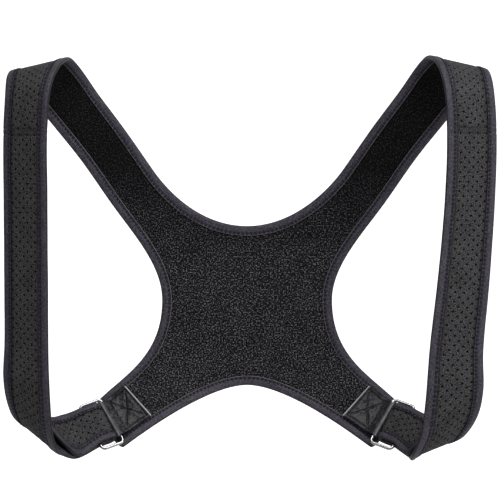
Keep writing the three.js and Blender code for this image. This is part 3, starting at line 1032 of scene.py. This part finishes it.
def fold_tape(name, pattern, trail):
    rows = len(trail.points) - 1
    columns = len(PROFILE) - 1
    tape = flat_grid(name, (rows, columns), (rows, columns), (rows / 2, columns / 2, 0))
    layer = tape.data.uv_layers.active
    girth = run_lengths([Vector(corner) for corner in PROFILE], 0)
    for loop in tape.data.loops:
        place = tape.data.vertices[loop.vertex_index].co
        stitches = place.x * trail.step / trail.pitch
        layer.data[loop.index].uv = (stitches * STITCH_PITCH * MM, girth[round(place.y)] * MM)
    for vertex in tape.data.vertices:
        i, j = round(vertex.co.x), round(vertex.co.y)
        q, h = PROFILE[j]
        s = i * trail.step
        sewn = math.exp(-(((q - STITCH_LINE) / PUCKER_WIDTH) ** 2))
        pressed = 0.5 - 0.5 * math.cos(2 * math.pi * s / trail.pitch)
        drop = PUCKER * sewn * pressed
        h += -drop if h > 0 else drop
        x, y = trail.spot(s, q)
        vertex.co = (x, y, h)
    pattern.wear(tape)
    return tape


def wall(tape, pattern, trail):
    """Turns the tape's faces outwards, judged by one on its upper side, and gives it its thickness."""
    x, y = trail.spot(trail.step / 2, (TAPE_PROFILE[1][0] + TAPE_PROFILE[2][0]) / 2)
    up = pattern.worn_place(x, y, SHELL + 1) - pattern.worn_place(x, y, SHELL)
    if tape.data.polygons[1].normal.dot(up) < 0:
        tape.data.flip_normals()
    apply_modifier(tape, "SOLIDIFY", thickness=TAPE * 0.85 * MM, offset=-1, use_even_offset=False)
    bpy.ops.object.shade_smooth()


TAPE_TINT = (1, 0.9, 1.2)
RIB_PITCH = 0.0007
FOLD_SHADE_REACH = 0.0016
EDGE_HIGHLIGHT_WIDTH = 0.0008
STITCH_SHADOW = 0.0023
GIRTH = sum(math.dist(a, b) for a, b in zip(PROFILE, PROFILE[1:])) * MM
STITCH_GIRTH = GIRTH / 2 - (TAPE_PROFILE[0][0] - STITCH_LINE) * MM


def tape_finish():
    finish = Finish("woven_tape")
    place = finish.cut_map()
    broad = finish.noise(place, 90.0, 3.0)
    fine = finish.noise(place, 560.0, 3.0)
    along = finish.node("ShaderNodeSeparateXYZ", values={"Vector": place})
    across = finish.node("ShaderNodeSeparateXYZ", values={"Vector": place}, output=1)
    ribs = (along * (2 * math.pi / RIB_PITCH)).wave()
    light = (broad - 0.5) * 0.8 + ribs * 0.14 + (fine - 0.5) * 3.4 + 0.48
    light = light.at_least(0).at_most(1)
    colour = finish.blend(light, rgb(0.016, TAPE_TINT), rgb(0.074, TAPE_TINT))
    from_fold = (across - GIRTH / 2).size()
    fold = (1.7 - from_fold / FOLD_SHADE_REACH).at_least(0).at_most(1)
    edge_highlight = ((from_fold - GIRTH / 2) / EDGE_HIGHLIGHT_WIDTH + 1).at_least(0).at_most(1)
    beside = (1 - ((from_fold - STITCH_GIRTH) / STITCH_SHADOW).size() ** 2).at_least(0)
    pressed = 0.57 - 0.43 * (along * (2 * math.pi / (STITCH_PITCH * MM)) + math.pi / 2).wave()
    # Painted shade round the stitch line, tinted navy like the thread and darkest at each stitch.
    colour = finish.blend(beside * pressed * 0.95, colour, rgb(0.004, (1, 0.85, 1.8)))
    # Painted shade: the tape darkens towards its fold round the edge.
    colour = finish.blend(fold * 0.85, colour, rgb(0.004))
    # Painted highlight: a pale line along the inner edge of the tape's face on the lining side.
    colour = finish.blend(edge_highlight * (across - GIRTH / 2).over(0) * 0.9, colour, rgb(0.2))
    finish.shade(Base_Color=colour, Roughness=0.6, Specular_IOR_Level=0.25)
    finish.bump(ribs * 0.5 + fine * 0.5, 0.3, 0.0002)
    return finish.material


woven = tape_finish()

bpy.ops.object.select_all(action="DESELECT")
bpy.ops.mesh.primitive_uv_sphere_add(segments=6, ring_count=4, radius=1)
grain = bpy.context.object
grain.name = "stitch"
grain.rotation_euler = (0, math.pi / 2, 0)
bpy.ops.object.transform_apply(location=False, rotation=True, scale=False)
STITCH_SHAPE = [vertex.co.copy() for vertex in grain.data.vertices]
STITCH_FACES = [tuple(face.vertices) for face in grain.data.polygons]
bpy.data.objects.remove(grain)


STITCH_BOW = 0.12


def sew(name, pattern, spots, length=2.8, thick=1.6):
    """Stitches at flat spots, each with its flat way and its height on the sheet."""
    places = []
    faces = []
    for spot, way, height in spots:
        start = len(places)
        side_way = Vector((-way.y, way.x))
        for p in STITCH_SHAPE:
            at = spot + way * (p.x * length / 2) + side_way * (p.y * thick / 2)
            rise = p.z * thick / 2 - STITCH_BOW * p.x * p.x * (1 if height > 0 else -1)
            places.append(pattern.worn_place(at.x, at.y, height + rise))
        flip = pattern.mirrored
        faces += [[start + i for i in (reversed(face) if flip else face)] for face in STITCH_FACES]
    mesh = bpy.data.meshes.new(name)
    mesh.from_pydata(places, [], faces)
    piece = bpy.data.objects.new(name, mesh)
    bpy.context.collection.objects.link(piece)
    mesh.shade_smooth()
    return piece


def thread_finish(name, colour):
    finish = Finish(name)
    place = finish.own_place()
    twist = finish.noise(place, 3000.0, 1.0)
    dark = tuple(c * 0.6 for c in colour[:3]) + (1,)
    finish.shade(Base_Color=finish.blend(twist, dark, colour), Roughness=0.5, Specular_IOR_Level=0.25)
    finish.bump(twist, 0.3, 0.0001)
    return finish.material


thread = thread_finish("navy_thread", rgb(0.01, (1, 0.85, 2.2)))


def bind(name, pattern, points, inward, node):
    """A tape folded over one edge, with its line of stitches on both sides."""
    trail = Trail(points, inward)
    tape = fold_tape(f"{name}_tape", pattern, trail)
    wall(tape, pattern, trail)
    dress(tape, woven, "tape", node)
    spots = []
    for i in range(trail.stitches):
        s = (i + 0.5) * trail.pitch
        way = (trail.spot(s + 1, STITCH_LINE) - trail.spot(s - 1, STITCH_LINE)).normalized()
        for height in (SHELL + GAP + TAPE, -LINING - GAP - TAPE):
            spots.append((trail.spot(s, STITCH_LINE), way, height))
    stitches = sew(f"{name}_stitches", pattern, spots)
    dress(stitches, thread, "tape")
    return [tape, stitches]


def stitch_between(a, b, pitch, height):
    count = max(round((b - a).length / pitch), 1)
    way = (b - a).normalized()
    return [(a.lerp(b, (i + 0.5) / count), way, height) for i in range(count)]


CROSS_PITCH = 3.3
cross_seams = {}
for side in (left, right):
    band = bands[side.name]
    reach = STRAP_WIDTH / 2 - BINDING
    spots = []
    for y in (-SEAM_LINE, SEAM_LINE):
        for height in (SHELL, -LINING):
            spots += stitch_between(Vector((-reach, y)), Vector((reach, y)), CROSS_PITCH, height)
    ends = (Vector((-reach, band.loop_seam)), Vector((reach, band.loop_seam)))
    spots += stitch_between(*ends, CROSS_PITCH, SHELL + 0.1)
    cross_seams[side.name] = sew(f"cross_stitches_{side.name}", band, spots, length=2.4, thick=0.6)
    dress(cross_seams[side.name], thread, "tape")


def pad_trail(first, second):
    return [*reversed(pad.runs[first]), *pad.runs[second]]


neckline = pad_trail(("arm", "left", "inner"), ("arm", "right", "inner"))
trims = bind("neckline", pad, neckline, -1, "neckline_binding")
hem = pad_trail(("lower", "left", "inner"), ("lower", "right", "inner"))
trims += bind("hem", pad, hem, 1, "hem_binding")
for side in (left, right):
    points = pad_trail(("arm", side.name, "outer"), ("lower", side.name, "outer"))
    trims += bind(f"armhole_{side.name}", pad, points, -side.sign, f"armhole_binding_{side.name}")
for side in (left, right):
    band = bands[side.name]
    trims = bind(f"strap_{side.name}", band, band.outline, 1, f"strap_binding_{side.name}")


# Rings
# A closed rectangle of polished steel wire on each side joins the strap to the pad's lower arm.
# The strap's bar lies in the fold of the strap, and the other one in the leather tab.
RING_SLACK = 2.2
RING_CLEAR = 2.3
RING_CORNER = 4


def wire_ring(side):
    long = RING_STRAP / 2 + TAPE + GAP + RING_CLEAR + (WIRE + RING_SLACK) / 2
    short = RING_PITCH / 2
    bpy.ops.object.select_all(action="DESELECT")
    bpy.ops.mesh.primitive_plane_add(size=2)
    ring = bpy.context.object
    ring.name = f"wire_ring_{side.name}"
    ring.scale = (long, short, 1)
    bpy.ops.object.transform_apply(location=False, rotation=False, scale=True)
    bpy.ops.object.mode_set(mode="EDIT")
    bpy.ops.mesh.select_all(action="SELECT")
    bpy.ops.mesh.bevel(offset=RING_CORNER, segments=10, affect="VERTICES")
    bpy.ops.mesh.select_all(action="SELECT")
    bpy.ops.mesh.delete(type="ONLY_FACE")
    bpy.ops.object.mode_set(mode="OBJECT")
    bpy.ops.object.convert(target="CURVE")
    ring.data.bevel_depth = WIRE / 2
    ring.data.bevel_resolution = 6
    bpy.ops.object.convert(target="MESH")
    middle = side.near.lerp(side.far, 0.5) - side.bar * RING_SLACK / 2
    frame_of = Matrix((side.bar, side.pull, side.bar.cross(side.pull))).transposed().to_4x4()
    ring.data.transform(Matrix.Scale(MM, 4) @ Matrix.Translation(middle) @ frame_of)
    edit_mode(ring)
    bpy.ops.mesh.select_all(action="SELECT")
    bpy.ops.mesh.remove_doubles(threshold=1e-6)
    bpy.ops.mesh.normals_make_consistent(inside=False)
    bpy.ops.object.mode_set(mode="OBJECT")
    bpy.ops.object.shade_smooth()
    return ring


def steel_finish():
    finish = Finish("polished_steel")
    place = finish.own_place()
    wear = finish.noise(place, 700.0, 4.0)
    colour = finish.blend(wear, rgb(0.2), rgb(0.5))
    finish.shade(Base_Color=colour, Metallic=1.0, Roughness=wear * 0.2 + 0.15)
    finish.bump(wear, 0.05, 0.0001)
    return finish.material


steel = steel_finish()
for side in (left, right):
    dress(wire_ring(side), steel, "steel", f"ring_{side.name}")


# Leather tabs
# A strip of black imitation leather goes round the ring's inner bar and holds the pad's arm end between.
# A box and a cross of dark thread hold it, with a paler row of stitches on the ring's side.
TAB_WIDTH = 42
TAB_LENGTH = 36
TAB_OVERRUN = 3
TAB_CELL = 0.6
BOX_IN = 3.4
BOX_LENGTH = 26
TAB_CHANNEL = 0.8
TAB_CHANNEL_WIDTH = 0.65
TAB_PITCH = 3.2
END_HIGHLIGHT_WIDTH = 1.3
END_HIGHLIGHT_FADE = 0.6
TURN_ROWS = 14
FOLD_HIGHLIGHT_ROW = 11
FOLD_HIGHLIGHT_WIDTH = 0.9
EDGE_ROUND = 0.9
TOPSTITCH_GAP = 0.9


def wrinkle(x, y):
    broad = noise.noise(Vector((x / 9, y / 7, 1.7)))
    fine = noise.noise(Vector((x / 3.5, y / 3, 6.2)))
    return 0.4 * broad + 0.25 * fine


def tab_pattern(side):
    arm = side.lower
    inward = -side.facing

    def ply_row(distance, lift, turned):
        t = arm.advance(1, -distance)
        across = TAB_WIDTH / arm.width(t)

        def row(c):
            c = 0.5 + (c - 0.5) * across
            normal = arm.normal(t, c)
            return arm.point(t, c) - normal * lift, -normal if turned else normal

        return row

    def round_row(angle):
        normal = -inward * math.cos(angle) + side.pull * math.sin(angle)
        middle = side.near + normal * TAB_BEND
        return lambda c: (middle + side.bar * (c - 0.5) * TAB_WIDTH, normal)

    start = BAR_SETBACK + 1.5 * WIRE
    distances = span(TAB_LENGTH + TAB_OVERRUN, start, 24)
    rows = [ply_row(d, TAB_HEIGHT, False) for d in distances]
    rows += [round_row(a) for a in span(0, math.pi, TURN_ROWS)]
    for d in reversed(distances):
        rise = max(0, 1 - (d - BAR_SETBACK) / (6 * WIRE)) ** 2
        lift = TAB_HEIGHT + LEATHER + GAP + (2 * TAB_BEND - LEATHER - GAP) * rise
        rows.append(ply_row(d, lift, True))
    half = TAB_WIDTH / 2
    pattern, lengths = even_cut(rows, half, TAB_OVERRUN)
    pattern.fold = lengths[len(distances) + FOLD_HIGHLIGHT_ROW]
    long = pattern.length
    outline = [Vector(p) for p in ((-half, 0), (-half, long), (half, long), (half, 0))]
    pattern.close(evenly([*outline, outline[0]], 1)[0])
    pattern.squeeze = lambda distance: 1
    pattern.relief = wrinkle
    wide, inner, ringward = half - BOX_IN, long - BOX_IN, long - BOX_LENGTH
    corners = [Vector(p) for p in ((-wide, ringward), (wide, ringward), (wide, inner), (-wide, inner))]
    box = zip(corners, corners[1:] + corners[:1])
    pattern.lines = [*box, (corners[0], corners[2]), (corners[1], corners[3])]
    pattern.sewn = [(a, b, TAB_CHANNEL, TAB_CHANNEL_WIDTH) for a, b in pattern.lines]
    return pattern


def leather_tab(side, pattern):
    size = (TAB_WIDTH, pattern.length)
    cells = [round(length / TAB_CELL) for length in size]
    tab = flat_grid(f"leather_tab_{side.name}", cells, size, (0, pattern.length / 2, -LEATHER / 2))
    edit_mode(tab)
    bpy.ops.mesh.select_all(action="SELECT")
    bpy.ops.mesh.extrude_region_move(TRANSFORM_OT_translate={"value": (0, 0, LEATHER)})
    bpy.ops.mesh.select_all(action="SELECT")
    bpy.ops.mesh.normals_make_consistent(inside=False)
    bpy.ops.object.mode_set(mode="OBJECT")
    flat_uv(tab)
    # Painted highlight mask: a pale line along the tab's inner end.
    mark(tab, "raw_edge", lambda p: min(max((p.y - pattern.length + END_HIGHLIGHT_WIDTH) / END_HIGHLIGHT_FADE, 0), 1))
    # Painted highlight mask: a band on the fold round the ring's bar.
    mark(tab, "worn_fold", lambda p: math.exp(-(((p.y - pattern.fold) / FOLD_HIGHLIGHT_WIDTH) ** 2)))
    # Painted shade mask: the stitch channels in the leather.
    mark(tab, "sewn", lambda p: pattern.channel(p.x, p.y) / TAB_CHANNEL)
    for vertex in tab.data.vertices:
        edge = pattern.from_edge(vertex.co.x, vertex.co.y)
        vertex.co.z *= 1.15 - 0.5 * max(0, 1 - edge / EDGE_ROUND) ** 2
    pattern.wear(tab)
    bpy.ops.object.shade_smooth()
    return tab


LEATHER_TINT = (1, 1, 1.25)


def leather_finish():
    finish = Finish("imitation_leather")
    place = finish.cut_map()
    grain = finish.node("ShaderNodeTexVoronoi", values={"Vector": place, "Scale": 900.0})
    broad = finish.noise(place, 160.0, 4.0)
    colour = finish.blend(broad, rgb(0.003, LEATHER_TINT), rgb(0.02, LEATHER_TINT))
    end_highlight = finish.marked("raw_edge")
    # The painted highlight on the fold round the ring's bar.
    worn = finish.marked("worn_fold")
    sewn = finish.marked("sewn")
    # Painted shade: the stitch channels are near-black.
    colour = finish.blend(sewn * 0.9, colour, rgb(0.001))
    # Painted highlight along the tab's inner end.
    colour = finish.blend(end_highlight, colour, rgb(0.4))
    # Painted highlight: the fold round the ring's bar turns pale.
    colour = finish.blend(worn * (broad + 0.3), colour, rgb(0.3))
    finish.shade(Base_Color=colour, Roughness=broad * 0.2 + 0.2, Specular_IOR_Level=0.15)
    finish.bump(grain * 0.5 + broad, 0.5, 0.0005)
    return finish.material


leather = leather_finish()
pale_thread = thread_finish("pale_thread", rgb(0.1))
for side in (left, right):
    pattern = tab_pattern(side)
    tab = leather_tab(side, pattern)
    dress(tab, leather, "leather", f"ring_tab_{side.name}")
    box = [spot for a, b in pattern.lines for spot in stitch_between(a, b, TAB_PITCH, LEATHER / 2)]
    box_seam = sew(f"tab_stitches_{side.name}", pattern, box, length=2.3, thick=0.6)
    dress(box_seam, thread, "leather")
    a, b = pattern.lines[0]
    beside = Vector((0, -TOPSTITCH_GAP))
    row = stitch_between(a + beside, b + beside, TAB_PITCH, LEATHER / 2 + 0.15)
    topstitch = sew(f"tab_topstitch_{side.name}", pattern, row, length=2.2, thick=0.5)
    dress(topstitch, pale_thread, "leather")
